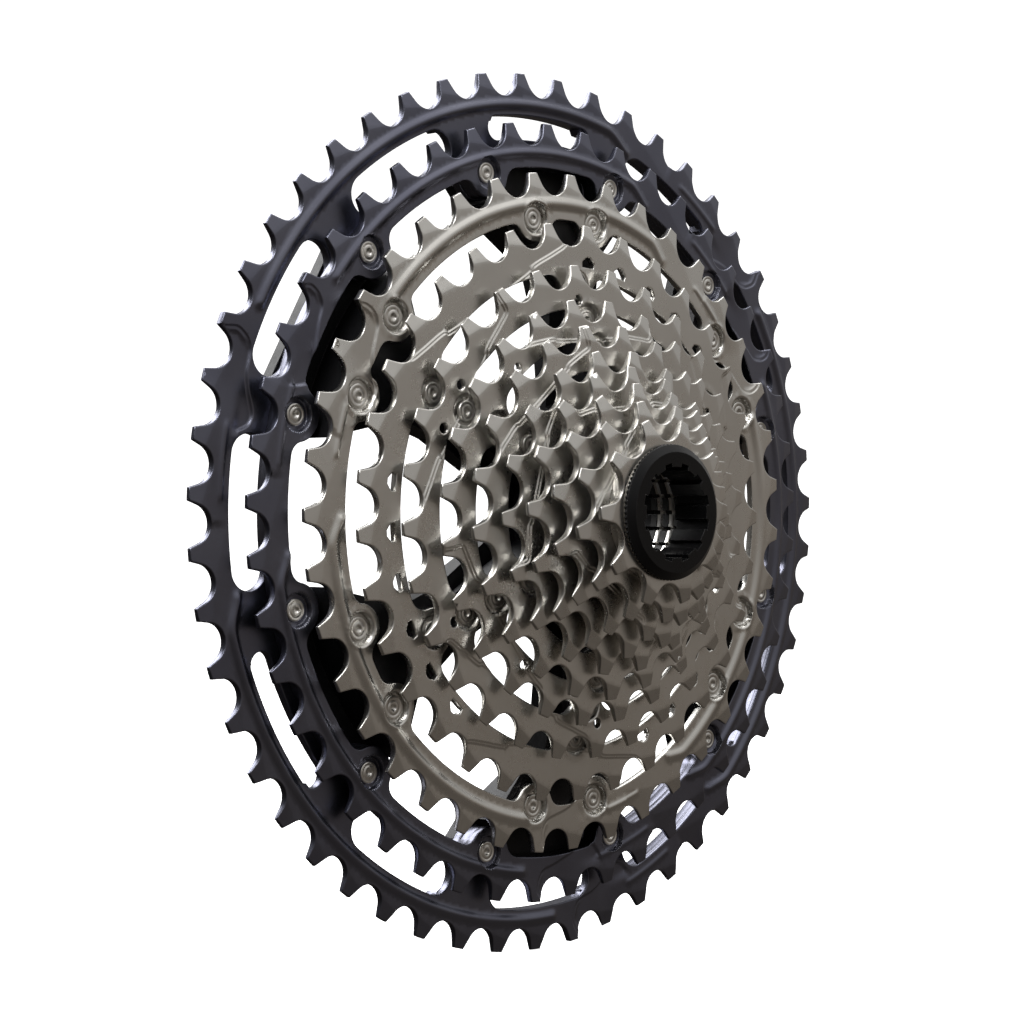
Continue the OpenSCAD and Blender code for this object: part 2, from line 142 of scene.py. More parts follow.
def metal(name, dark, light, worn, rough, metallic, grain, edge_r=0.0002, wear=0.7,
          specular=0.5, rounded=True):
    """Satin metal: cloudy colour, uneven gloss, a fine blasted grain and worn edges."""
    m = Shader(name)
    clouds = m.range(m.noise(45, 4), 0.35, 0.65, 0, 1)
    specks = m.range(m.noise(900, 2), 0.3, 0.7, 0, 1)
    body = m.mix(clouds, dark, light)
    normal, edge = m.edges(edge_r)
    patchy = m.add("ShaderNodeMath")
    patchy.operation = "MULTIPLY"
    m.link(edge, patchy.inputs[0])
    m.link(m.range(m.noise(260, 3), 0.3, 0.6, 0.25 * wear, wear), patchy.inputs[1])
    m.link(m.mix(patchy.outputs["Value"], body, worn), m.bsdf.inputs["Base Color"])
    gloss = m.add("ShaderNodeMath")
    gloss.operation = "ADD"
    m.link(m.range(m.noise(120, 3), 0.3, 0.7, rough - 0.05, rough + 0.03), gloss.inputs[0])
    m.link(m.range(specks, 0, 1, 0, 0.05), gloss.inputs[1])
    m.link(gloss.outputs["Value"], m.bsdf.inputs["Roughness"])
    m.bsdf.inputs["Metallic"].default_value = metallic
    m.bsdf.inputs["Specular IOR Level"].default_value = specular
    m.bump(m.noise(2600, 2), grain, normal if rounded else None)
    return m.material


anodised = metal("dark_anodised", (0.125, 0.128, 0.165), (0.150, 0.154, 0.192),
                 (0.40, 0.41, 0.45), 0.33, 1.0, 0.00001, 0.00018, 0.5)
nickel = metal("satin_nickel", (0.570, 0.556, 0.525), (0.620, 0.606, 0.575),
               (0.78, 0.77, 0.75), 0.28, 1.0, 0.0000015, 0.0001, 0.08, rounded=False)
rivet_metal = metal("rivet_steel", (0.60, 0.585, 0.555), (0.70, 0.685, 0.65),
                    (0.85, 0.83, 0.79), 0.30, 1.0, 0.000005, 0.0001, 0.3)
black = metal("black_anodised", (0.006, 0.006, 0.007), (0.011, 0.011, 0.012),
              (0.06, 0.06, 0.06), 0.42, 0.3, 0.00002, specular=0.25)
ring_black = metal("lock_ring_black", (0.004, 0.004, 0.0045), (0.007, 0.007, 0.0075),
                   (0.07, 0.07, 0.07), 0.30, 0.2, 0.00001, specular=0.22)
plastic = metal("spacer_plastic", (0.020, 0.020, 0.020), (0.030, 0.030, 0.030),
                (0.06, 0.06, 0.06), 0.55, 0.0, 0.00003)
washer_metal = metal("washer_steel", (0.42, 0.40, 0.37), (0.50, 0.48, 0.44),
                     (0.7, 0.69, 0.66), 0.30, 1.0, 0.00001)
SLOT_MATERIALS = {
    "dark_anodised_aluminium": anodised,
    "nickel_plated_steel": nickel,
    "rivet_steel": rivet_metal,
    "spacer_plastic": plastic,
    "washer_steel": washer_metal,
    "lock_ring_black": ring_black,
    "spider_black": black,
}
slot_of = {s["node"]: s["material_slot"] for s in frame["record"]["subparts"]}
for name, obj in nodes.items():
    obj.data.materials.clear()
    obj.data.materials.append(SLOT_MATERIALS[slot_of[name]])

# ---- Sizes of the real parts, in millimetres ----

MM = 0.001
CHAIN_PITCH = 12.7
SEAT_R = 4.35
ADDENDUM = 1.05
TIP_W = 2.8
PLATE_T = 1.8
WEB_T = 2.3
RIM_T = 4.5
WIDE_GAP = 4.3
GAP = 3.6
LARGEST_FACE = -8.5
TEETH = (51, 45, 39, 33, 28, 24, 21, 18, 16, 14, 12, 10)
CLOCK = dict(zip(TEETH, (1.4, 2.6, 5.1, 9.8, 3.7, 9.5, 14.7, 2.2, 21.2, 16.5, 10.4, 0.6)))
FACE = {n: LARGEST_FACE + WIDE_GAP * min(i, 2) + GAP * max(i - 2, 0) for i, n in enumerate(TEETH)}
SECTORS = (0, 120, 240)
ARMS = tuple(30 + 60 * k for k in range(6))
RECESS_R = 3.8
EDGE = 0.22
MIN_WEB = 0.45


def polar(r, a):
    a = np.radians(a)
    return np.stack([r * np.cos(a), r * np.sin(a)], -1)


def pitch_r(n):
    return CHAIN_PITCH / 2 / math.sin(math.pi / n)


def tip_r(n):
    return pitch_r(n) + ADDENDUM


def smooth(t):
    t = np.clip(t, 0, 1)
    return t * t * (3 - 2 * t)


# ---- Outlines: closed loops of points with the material on their left ----


def resample(loop, step):
    """Splits long edges of a closed loop."""
    out = []
    for a, b in zip(loop, np.roll(loop, -1, 0)):
        count = max(1, int(math.ceil(np.linalg.norm(b - a) / step)))
        out += [a + (b - a) * i / count for i in range(count)]
    return np.array(out)


def toothed_loop(n):
    steps = 16
    half_pitch = math.pi / n
    up = tip_r(n) * math.cos(half_pitch) + TIP_W / 2 * math.sin(half_pitch) - pitch_r(n)
    side = tip_r(n) * math.sin(half_pitch) - TIP_W / 2 * math.cos(half_pitch)
    half_arc = 90 - math.degrees(math.acos(SEAT_R / math.hypot(up, side)) - math.atan2(up, side))
    half_tip = math.degrees(math.asin(TIP_W / 2 / tip_r(n)))
    points = []
    for i in range(n):
        tooth = CLOCK[n] + i * 360 / n
        seat = tooth + 180 / n
        points += [polar(tip_r(n), tooth + s * half_tip) for s in (-1, 0, 1)]
        points += [polar(pitch_r(n), seat) - polar(SEAT_R, seat + half_arc * (1 - 2 * k / steps))
                   for k in range(steps + 1)]
    return resample(np.array(points), 0.8)


def circle_loop(r, centre=(0, 0), step=0.8, hole=False):
    count = max(24, int(2 * math.pi * r / step))
    angles = np.arange(count) * 360 / count
    if hole:
        angles = angles[::-1]
    return polar(r, angles) + np.array(centre)


def arc(centre, r, a0, a1, step=0.7):
    """Points of an arc from angle a0 to a1, without its last point."""
    count = max(3, int(abs(math.radians(a1 - a0)) * r / step))
    return polar(r, a0 + (a1 - a0) * np.arange(count) / count) + np.array(centre)


def angle_of(v):
    return math.degrees(math.atan2(v[1], v[0]))


def nearest_turn(a, reference):
    return a - 360 * round((a - reference) / 360)


def lobed_loop(edge, r, lobe_r, fillet, places):
    """Inner edge of a ring, with a filleted lobe that reaches inward at each place."""
    hub = edge - fillet
    half = math.degrees(math.acos((r * r + hub * hub - (lobe_r + fillet) ** 2) / (2 * r * hub)))
    points = []
    places = sorted(places)
    for place, following in zip(places, places[1:] + [places[0] + 360]):
        lobe = polar(r, place)
        for side in (-1, 1):
            centre = polar(hub, place + side * half)
            edge_a = place + side * half
            lobe_a = nearest_turn(angle_of(lobe - centre), edge_a)
            if side < 0:
                points += list(arc(centre, fillet, edge_a, lobe_a, 0.5))
                start = nearest_turn(angle_of(centre - lobe), place + 180)
                end = nearest_turn(2 * place - start, place + 180)
                points += list(arc(lobe, lobe_r, start, end, 0.6))
            else:
                points += list(arc(centre, fillet, lobe_a, edge_a, 0.5))
        points += list(arc((0, 0), edge, place + half, following - half, 0.8))
    return np.array(points)[::-1]


def slot_loop(outer, inner, half_angle, middle):
    """Slot that follows a circle, with round ends."""
    end_r = (outer - inner) / 2
    mid_r = inner + end_r
    end_a = half_angle - math.degrees(math.asin(end_r / mid_r))
    points = list(arc((0, 0), outer, middle - end_a, middle + end_a))
    points += list(arc(polar(mid_r, middle + end_a), end_r, middle + end_a, middle + end_a + 180, 0.5))
    points += list(arc((0, 0), inner, middle + end_a, middle - end_a))
    points += list(arc(polar(mid_r, middle - end_a), end_r, middle - end_a + 180, middle - end_a + 360, 0.5))
    return np.array(points)[::-1]


def spline_loop(bore_r=14.2, groove_w=0.9, groove_r=15.1, count=23):
    points = []
    half = math.degrees(groove_w / 2 / bore_r)
    for i in range(count):
        a = i * 360 / count
        ends = [polar(bore_r, a - half), polar(groove_r, a - half), polar(groove_r, a + half)]
        points += ends + list(arc((0, 0), bore_r, a + half, a + 360 / count - half))
    return np.array(points)[::-1]


def shape_loop(corners, n, tooth, r):
    """Small window under a tooth, from corners given along and across the tooth's axis."""
    a = CLOCK[n] + tooth * 360 / n
    out, across = polar(1, a), polar(1, a + 90)
    points = np.array([polar(r, a) + out * u + across * v for u, v in corners])
    return resample(points, 0.6)[::-1]


HOUSE = ((-1.2, -1.9), (0, -2), (1.2, -0.6), (1.2, 0.6), (0, 2), (-1.2, 1.9))


def round_corners(r):
    return [(r * math.cos(a), r * math.sin(a)) for a in np.arange(20) * math.pi / 10]


# ---- Relief of a sprocket's front face: each piece gives heights and lines to mesh along ----


def segment_distance(points, path):
    best = np.full(len(points), 1e9)
    for a, b in zip(path[:-1], path[1:]):
        ab = b - a
        t = np.clip(((points - a) @ ab) / max(ab @ ab, 1e-12), 0, 1)
        best = np.minimum(best, np.linalg.norm(points - a - t[:, None] * ab, axis=1))
    return best


def inside(points, loops):
    """Even-odd test of many points against closed loops."""
    hit = np.zeros(len(points), bool)
    x, y = points[:, 0], points[:, 1]
    for loop in loops:
        for (ax, ay), (bx, by) in zip(loop, np.roll(loop, -1, 0)):
            if ay == by:
                continue
            crosses = (ay > y) != (by > y)
            hit ^= crosses & (x < (bx - ax) * (y - ay) / (by - ay) + ax)
    return hit


def curve_through(knots, per_span=6):
    """Smooth path through polar knots (angle, radius)."""
    p = np.array([polar(r, a) for a, r in knots])
    p = np.vstack([2 * p[0] - p[1], p, 2 * p[-1] - p[-2]])
    out = []
    for i in range(1, len(p) - 2):
        for k in range(per_span):
            t = k / per_span
            a, b, c, d = p[i - 1], p[i], p[i + 1], p[i + 2]
            out.append(0.5 * (2 * b + (c - a) * t + (2 * a - 5 * b + 4 * c - d) * t * t
                              + (3 * b - a - 3 * c + d) * t ** 3))
    out.append(p[-2])
    return np.array(out)


def turned(path, a):
    c, s = math.cos(math.radians(a)), math.sin(math.radians(a))
    return path @ np.array([[c, s], [-s, c]])


def dense(path, step):
    """The same open path with its points no further apart than step."""
    length = np.append(0, np.cumsum(np.linalg.norm(np.diff(path, axis=0), axis=1)))
    marks = np.linspace(0, length[-1], int(length[-1] / step) + 2)
    return np.column_stack([np.interp(marks, length, path[:, k]) for k in (0, 1)])


def side_path(path, d):
    """Path moved sideways by d, to its left."""
    along = np.gradient(path, axis=0)
    along /= np.linalg.norm(along, axis=1)[:, None]
    return path + d * np.stack([-along[:, 1], along[:, 0]], -1)


class Pocket:
    """Shift gate: lowered area on the outer side of a path through polar knots.
    Its wall is one soft step, or two steps near the first knots, where a crescent is cut,
    or two fine steps all along it where double is set."""

    def __init__(self, knots, turn, depth, wall=0.8, crescent=0, fade=None, double=False):
        self.path = turned(curve_through(knots), turn)
        self.depth = depth
        self.wall = wall
        self.crescent = crescent
        self.fade = fade
        self.double = double
        self.turn = turn
        outer = max(r for a, r in knots) + 5
        ends = [polar(outer, knots[-1][0] + turn), polar(outer, knots[0][0] + turn)]
        middle = polar(outer + 2, (knots[0][0] + knots[-1][0]) / 2 + turn)
        self.loop = np.vstack([self.path, ends[0], middle, ends[1]])

    def height(self, points):
        near = inside(points, [self.loop])
        result = np.zeros(len(points))
        if not near.any():
            return result
        p = points[near]
        d = segment_distance(p, self.path)
        one = smooth(d / self.wall)
        share = 0.5 * smooth(d / 0.4) + 0.5 * smooth((d - 0.7) / 0.4) if self.double else one
        if self.crescent:
            two = 0.5 * smooth(d / 0.35) + 0.5 * smooth((d - 1.15) / 0.35)
            tip = segment_distance(p, self.path[:self.crescent])
            rest = segment_distance(p, self.path[self.crescent:])
            w = smooth((rest - tip + 1.2) / 2.4)
            share = w * two + (1 - w) * one
        drop = self.depth * share
        if self.fade:
            start, end, low_r, high_r = self.fade
            a = np.degrees(np.arctan2(p[:, 1], p[:, 0]))
            a = start + (a - self.turn - start + 180) % 360 - 180
            r = np.linalg.norm(p, axis=1)
            drop *= 1 - smooth((a - start) / (end - start)) * smooth((r - low_r) / (high_r - low_r))
        result[near] = -drop
        return result

    def lines(self):
        path = dense(self.path, 0.45)
        if self.double:
            return [side_path(path, -d) for d in (-0.1, 0, 0.1, 0.2, 0.3, 0.4, 0.55, 0.7, 0.8, 0.9,
                                                  1, 1.1, 1.3)]
        step = self.wall / 4
        return [side_path(path, -step * k) for k in (-0.5, 0, 0.7, 1.4, 2.2, 3, 4, 5, 6, 7)]


class Rib:
    """Rounded rib that runs round the face between two angles and swings inward at its low end."""

    def __init__(self, r, half_w, height, low, high, swing=0, turn=0, swing_span=6):
        self.r, self.half_w, self.rise = r, half_w, height
        self.low, self.high, self.swing, self.turn = low, high, swing, turn
        self.swing_span = swing_span

    def centre(self, a):
        return self.r - self.swing * smooth((self.low + self.swing_span - a) / self.swing_span)

    def height(self, points):
        a = np.degrees(np.arctan2(points[:, 1], points[:, 0]))
        middle = (self.low + self.high) / 2
        a = middle + (a - self.turn - middle + 180) % 360 - 180
        r = np.linalg.norm(points, axis=1)
        u = np.clip((r - self.centre(a)) / self.half_w, -1, 1)
        shape = (1 - u * u) ** 1.5
        ends = smooth((a - self.low) / 1.2) * smooth((self.high - a) / 1.2)
        return self.rise * shape * ends

    def lines(self):
        a = np.arange(self.low, self.high, math.degrees(0.55 / self.r))
        return [polar(self.centre(a) + self.half_w * k, a + self.turn)
                for k in (-1, -0.75, -0.5, -0.25, 0, 0.25, 0.5, 0.75, 1)]


class Recess:
    """Round recess that a rivet's head sits in."""

    def __init__(self, r, a, depth, wall=0.3, lip=0.0):
        self.centre = polar(r, a)
        self.depth, self.wall, self.lip = depth, wall, lip

    def height(self, points):
        d = np.linalg.norm(points - self.centre, axis=1)
        bowl = -self.depth * (1 - smooth((d - RECESS_R + self.wall) / self.wall))
        ring = self.lip * np.clip(1 - np.abs(d - RECESS_R - 0.5) / 0.5, 0, 1)
        return bowl + ring

    def lines(self):
        return [circle_loop(RECESS_R + k, self.centre, 0.55)
                for k in (-self.wall - 0.25, -self.wall, -self.wall * 0.66, -self.wall * 0.33, 0, 0.3, 0.6)]


class Tips:
    """Flat bevels on the front of the tooth tips, deeper towards one side of each tooth."""

    def __init__(self, n, skip=(), deep=(), reach=3.5, slope=0.3, fall=0.2):
        self.n, self.reach, self.slope, self.fall = n, reach, slope, fall
        self.skip, self.deep = skip, deep

    def frame(self, i):
        a = CLOCK[self.n] + i * 360 / self.n
        return polar(1, a), polar(1, a + 90)

    def settings(self, i):
        if i in self.deep:
            return self.reach * 2.2, 0.35, self.fall * 0.45
        return self.reach, self.slope, self.fall

    def height(self, points):
        a = np.degrees(np.arctan2(points[:, 1], points[:, 0]))
        tooth = np.round((a - CLOCK[self.n]) * self.n / 360).astype(int) % self.n
        result = np.zeros(len(points))
        for i in range(self.n):
            if i in self.skip:
                continue
            reach, slope, fall = self.settings(i)
            out, across = self.frame(i)
            mine = tooth == i
            u, t = points[mine] @ out, points[mine] @ across
            result[mine] = -fall * np.clip(u - (tip_r(self.n) - reach + slope * t), 0, None)
        return result

    def lines(self):
        paths = []
        for i in range(self.n):
            if i in self.skip:
                continue
            reach, slope, fall = self.settings(i)
            out, across = self.frame(i)
            t = np.arange(-4, 4.01, 0.4)[:, None]
            for nudge in (-0.06, 0.06):
                paths.append(out * (tip_r(self.n) - reach + nudge + slope * t) + across * t)
        return paths


# ---- Plates: closed solids between a relief in front and a flat back ----


def inset(loop, d):
    before = loop - np.roll(loop, 1, 0)
    after = np.roll(loop, -1, 0) - loop
    before /= np.linalg.norm(before, axis=1)[:, None]
    after /= np.linalg.norm(after, axis=1)[:, None]
    n0 = np.stack([-before[:, 1], before[:, 0]], -1)
    n1 = np.stack([-after[:, 1], after[:, 0]], -1)
    n = n0 + n1
    n /= np.linalg.norm(n, axis=1)[:, None]
    miter = 1 / np.clip((n * n0).sum(1), 0.5, 1)
    return loop + n * (miter * d)[:, None]


EDGE_PROFILE = ((0, 1), (0.29, 0.29), (1, 0))


class Solid:
    """Collects vertices and faces in the drawing plane's coordinates, in millimetres."""

    def __init__(self):
        self.verts, self.faces = [], []

    def ring_strip(self, a, b):
        """Quads between two rings of the same length."""
        base = len(self.verts)
        n = len(a)
        self.verts += [tuple(v) for v in a] + [tuple(v) for v in b]
        for i in range(n):
            j = (i + 1) % n
            self.faces.append((base + i, base + j, base + n + j, base + n + i))

    def cap(self, rings, extra, height, flip):
        """Triangles inside rings (outer and holes), through the extra points."""
        points = np.vstack(rings + ([extra] if len(extra) else []))
        edges = []
        start = 0
        for ring in rings:
            n = len(ring)
            edges += [(start + i, start + (i + 1) % n) for i in range(n)]
            start += n
        border = start
        out = delaunay_2d_cdt([Vector(p) for p in points], edges, [], 0, 1e-6, True)
        verts2, faces2, origin = out[0], out[2], out[3]
        xy = np.array([tuple(v) for v in verts2])
        on_border = np.array([(not o) or min(o) < border for o in origin])
        tris = np.array([f for f in faces2 if len(f) == 3])
        unsure = on_border[tris].all(1)
        centres = xy[tris[unsure]].mean(1)
        keep = np.ones(len(tris), bool)
        keep[unsure] = inside(centres, rings)
        tris = tris[keep]
        z = height(xy)
        base = len(self.verts)
        self.verts += [(x, y, h) for (x, y), h in zip(xy, z)]
        order = tris[:, ::-1] if flip else tris
        self.faces += [tuple(int(v) + base for v in t) for t in order]


def hex_grid(r_in, r_out, step):
    rows = np.arange(-r_out, r_out, step * 0.866)
    points = []
    for k, y in enumerate(rows):
        x = np.arange(-r_out, r_out, step) + (step / 2 if k % 2 else 0)
        points.append(np.stack([x, np.full(len(x), y)], -1))
    points = np.vstack(points)
    r = np.linalg.norm(points, axis=1)
    return points[(r > r_in) & (r < r_out)]


def far_from(points, others, gap):
    """The points that are at least gap away from all the others."""
    if not len(others) or not len(points):
        return points
    tree = KDTree(len(others))
    for i, (x, y) in enumerate(others):
        tree.insert((x, y, 0), i)
    tree.balance()
    keep = [tree.find((x, y, 0))[2] >= gap for x, y in points]
    return points[np.array(keep)]


def thin_out(points, gap):
    """Keeps one point in each square cell of side gap."""
    cells = set()
    keep = []
    for i, (x, y) in enumerate(points):
        key = (int(x // gap), int(y // gap))
        if key in cells:
            continue
        cells.add(key)
        keep.append(i)
    return points[keep]


def plate(solid, loops, front, back, reliefs=(), step=0.9, edge=EDGE):
    """Adds a closed plate. loops are the outline and its holes, front and back are heights."""

    def height(points):
        z = np.zeros(len(points))
        for relief in reliefs:
            z = z + relief.height(points)
        return np.maximum(front + z, back + MIN_WEB) if reliefs else z + front

    rings = []
    for loop in loops:
        levels = []
        for out, drop in EDGE_PROFILE:
            ring = inset(loop, edge * out)
            levels.append((ring, height(ring) - edge * drop))
        support = inset(loop, edge + 0.12)
        levels.append((support, height(support)))
        lower = [(inset(loop, edge * out), np.full(len(loop), back + edge * drop))
                 for out, drop in EDGE_PROFILE]
        chain = [np.column_stack(level) for level in lower[::-1] + levels]
        for a, b in zip(chain[:-1], chain[1:]):
            solid.ring_strip(a, b)
        rings.append(support)
    back_rings = [inset(loop, edge) for loop in loops]

    extra = np.zeros((0, 2))
    if reliefs:
        high_r = np.linalg.norm(loops[0], axis=1).max()
        low_r = min(np.linalg.norm(l, axis=1).min() for l in loops[1:]) if len(loops) > 1 else 0
        lines = [p for relief in reliefs for p in relief.lines()]
        detail = np.vstack(lines) if lines else np.zeros((0, 2))
        border = np.vstack(rings)
        r = np.linalg.norm(detail, axis=1)
        detail = detail[(r > low_r) & (r < high_r)]
        detail = detail[inside(detail, rings)]
        detail = thin_out(far_from(detail, border, 0.12), 0.09)
        grid = hex_grid(low_r, high_r, step)
        grid = grid[inside(grid, rings)]
        grid = far_from(grid, np.vstack([border, detail]), step * 0.5)
        extra = np.vstack([detail, grid])
    solid.cap(rings, extra, height, False)
    solid.cap(back_rings, np.zeros((0, 2)), lambda p: np.full(len(p), back), True)


def add_solid(solid, name, material, body, node):
    """Makes a mesh object of the solid on the CAD node's body and hides the CAD node."""
    mesh = bpy.data.meshes.new(name)
    verts = [(x * MM, -z * MM, y * MM) for x, y, z in solid.verts]
    mesh.from_pydata(verts, [], solid.faces)
    bm = bmesh.new()
    bm.from_mesh(mesh)
    bmesh.ops.remove_doubles(bm, verts=bm.verts, dist=2e-6)
    bmesh.ops.dissolve_degenerate(bm, edges=bm.edges, dist=1e-7)
    bmesh.ops.recalc_face_normals(bm, faces=bm.faces)
    bm.to_mesh(mesh)
    bm.free()
    mesh.polygons.foreach_set("use_smooth", [True] * len(mesh.polygons))
    mesh.set_sharp_from_angle(angle=math.radians(50))
    mesh.materials.append(material)
    obj = bpy.data.objects.new(name, mesh)
    bpy.context.scene.collection.objects.link(obj)
    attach(obj, body)
    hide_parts(node)
    return obj


# ---- The sprockets ----


def nudged(loops):
    """The same loops a hair inside the material, so that two walls never lie in one plane."""
    return [inset(loop, 0.03) for loop in loops]


def sprocket_51():
    n, front = 51, FACE[51]
    slot_r, ledge_r, half_slot = 94.2, 93.0, 10.8
    inner = lobed_loop(82, 81.4, 6.2, 3, [15 + 30 * k for k in range(12)])
    slots = [slot_loop(slot_r, 88.4 if i % 4 == 3 else 84.9, half_slot, 30 * i) for i in range(12)]
    gate = ((157.6, 105), (157.2, 103), (156.5, 100), (156.7, 97.7), (157.4, 95.6), (158.6, 94.3),
            (161.3, 93.7), (163.5, 92.3), (165.4, 90.6), (166.8, 89.8), (168.1, 90.3),
            (168.9, 91.6), (169.4, 93))
    reliefs = [Pocket(gate, s, 0.55, crescent=26, fade=(163, 170, 93, 95.5)) for s in SECTORS]
    reliefs += [Rib(96.7, 1.5, 0.7, 190, 273.5, swing=3.2, turn=s) for s in SECTORS]
    reliefs += [Rib(96.6, 1.0, 0.25, 168, 179, turn=s) for s in SECTORS]
    reliefs.append(Tips(n, skip=(22, 39, 5), deep=(9, 26, 43)))
    solid = Solid()
    plate(solid, [toothed_loop(n)] + slots + [inner], front, front - PLATE_T, reliefs)
    plate(solid, nudged([circle_loop(95.2)] + slots + [inner]), front - 1, front - WEB_T)
    ledge = np.arange(0, 360, 0.5)
    in_slot = np.abs((ledge + 15) % 30 - 15) < half_slot - 1.5
    rim_inner = polar(np.where(in_slot, slot_r, ledge_r), ledge)[::-1]
    plate(solid, nudged([circle_loop(96.4), rim_inner]), front - 1, front - RIM_T)
    return solid


def sprocket_45():
    n, front = 45, FACE[45]
    places = [15 + 30 * k for k in range(12)]
    inner = lobed_loop(81.4, 81.4, 6, 3.5, places)
    gate = ((147.8, 93), (147.4, 91.5), (146.6, 90), (146.5, 88), (146.9, 86), (147.9, 84.2),
            (150.2, 83.2), (152.6, 82.1), (154.8, 81.1), (156.2, 79.4), (157.6, 78.2),
            (158.9, 78.6), (160.2, 80.8), (161.2, 83.4), (161.6, 85.4))
    reliefs = [Pocket(gate, s, 0.5, crescent=24, fade=(155, 163, 84, 86.5)) for s in SECTORS]
    reliefs += [Rib(84.9, 1.35, 0.6, 185.5, 264, swing=3, turn=s) for s in SECTORS]
    reliefs += [Rib(84.7, 0.9, 0.22, 160, 174, turn=s) for s in SECTORS]
    reliefs += [Recess(81.4, a, 1.45) for a in places]
    reliefs.append(Tips(n, skip=(18, 33, 3), deep=(7, 22, 37)))
    solid = Solid()
    plate(solid, [toothed_loop(n), inner], front, front - PLATE_T, reliefs)
    plate(solid, nudged([circle_loop(86), inner]), front - 1.6, FACE[51] + 0.01)
    return solid


def sprocket_39():
    n, front = 39, FACE[39]
    places = [a + s for a in ARMS for s in (-8.5, 8.5)]
    inner = lobed_loop(68.9, 69.3, 5.6, 3, places)
    gate = ((145, 81), (144.6, 79.4), (143.9, 77.7), (143.7, 75.6), (144.1, 73.4), (145.1, 71.9),
            (146.5, 71.1), (149.7, 69.9), (151.9, 68.7), (153.8, 66.9), (155.6, 65.4),
            (157.6, 65.2), (159.6, 66.6), (160.8, 69.2), (161.2, 72))
    reliefs = [Pocket(gate, s, 0.5, crescent=24, fade=(152, 160, 71, 74)) for s in SECTORS]
    reliefs += [Rib(72.7, 1.7, 0.6, 180, 260.5, swing=2.6, turn=s) for s in SECTORS]
    reliefs += [Rib(72.6, 0.9, 0.3, 157.5, 171, turn=s) for s in SECTORS]
    reliefs += [Recess(69.3, a, 1.35, wall=0.45, lip=0.2) for a in places]
    reliefs.append(Tips(n, skip=(15, 28, 2), deep=(5, 18, 31)))
    solid = Solid()
    plate(solid, [toothed_loop(n), inner], front, front - PLATE_T, reliefs)
    return solid


def gate_path(n, outer, middle, inner_r):
    """Knots of a gate whose two sides run down the teeth and then in an S to its middle."""
    top = tip_r(n) + 1.5
    root = pitch_r(n) - SEAT_R
    low, high = outer
    knots = [(low, top), (low, (top + root) / 2)]
    for t in (0, 0.35, 0.7, 1):
        knots.append((low + (middle[0] - low) * float(smooth(t)), root + (inner_r - root) * t))
    for t in (1, 0.7, 0.35, 0):
        knots.append((high + (middle[1] - high) * float(smooth(t)), root + (inner_r - root) * t))
    return knots + [(high, (top + root) / 2), (high, top)]


def steel_sprocket(n, inner, gates=(), recess_r=0, windows=(), inner_r=0, spread=(0.25, 0.75)):
    """gates are (first angle, width); spread says where the gate's inner edge lies in it."""
    front = FACE[n]
    reliefs = []
    for start, width in gates:
        middle = (start + width * spread[0], start + width * spread[1])
        knots = gate_path(n, (start, start + width), middle, inner_r)
        reliefs.append(Pocket(knots, 0, 0.5, wall=1.0, double=True))
    if recess_r:
        reliefs += [Recess(recess_r, a, 0.95, wall=0.5, lip=0.12) for a in ARMS]
    reliefs.append(Tips(n, reach=3.3, fall=0.26))
    solid = Solid()
    plate(solid, [toothed_loop(n)] + list(windows) + [inner], front, front - PLATE_T, reliefs)
    return solid


def sprocket_33():
    teeth = (3, 4, 5, 6, 7, 15, 16, 17, 18, 19, 20, 26, 27, 28, 29)
    windows = [shape_loop(HOUSE, 33, i, 59) for i in teeth]
    return steel_sprocket(33, lobed_loop(56, 53, 5.4, 4, ARMS), ((93, 55), (235, 55), (338, 55)),
                          53, windows, 56.3)


def sprocket_28():
    windows = [shape_loop(round_corners(1.2), 28, i, 49.6) for i in (2, 7, 11, 12, 16, 21, 25, 26)]
    return steel_sprocket(28, lobed_loop(47.6, 45, 4.6, 4, ARMS), ((-12, 58), (120, 58), (212, 58)),
                          45, windows, 47.2)


def sprocket_24():
    windows = [shape_loop(round_corners(1.1), 24, i, 42.2) for i in (1, 8, 15, 21)]
    return steel_sprocket(24, lobed_loop(40, 38, 4.6, 4, ARMS), ((66, 56), (189, 56), (306, 56)),
                          38, windows, 40.8)


def sprocket_21():
    return steel_sprocket(21, lobed_loop(33.4, 30, 4.6, 4, ARMS), ((100, 60), (280, 60)), 30,
                          (), 34.8)


def small_sprocket(n, gate):
    def make():
        bore = 14.5 if n <= 12 else 14.2
        return steel_sprocket(n, spline_loop(bore), ((gate, 70),) if gate else (), 0, (),
                              pitch_r(n) - SEAT_R - 3.5)
    return make


def sprocket_10():
    solid = steel_sprocket(10, spline_loop(14.5))
    front = FACE[10] - PLATE_T
    plate(solid, nudged([circle_loop(16.2), spline_loop(14.5)]), front + 0.8, FACE[12] + 0.01)
    return solid


body_of = {n: body for body, names in frame["record"]["behaviour"]["bodies"].items() for n in names}
SPROCKETS = {
    51: sprocket_51, 45: sprocket_45, 39: sprocket_39, 33: sprocket_33, 28: sprocket_28,
    24: sprocket_24, 21: sprocket_21, 18: small_sprocket(18, 130), 16: small_sprocket(16, 60),
    14: small_sprocket(14, 200), 12: small_sprocket(12, 110), 10: sprocket_10,
}
for teeth, make in SPROCKETS.items():
    node = f"sprocket_{teeth}"
    add_solid(make(), f"toothed_{teeth}", SLOT_MATERIALS[slot_of[node]], body_of[node], node)

# ---- The rivets ----

HEAD_T = 0.7
SHANK_R = 1.7
CLOSED_R = 2.2
RIVET_SIDES = 40


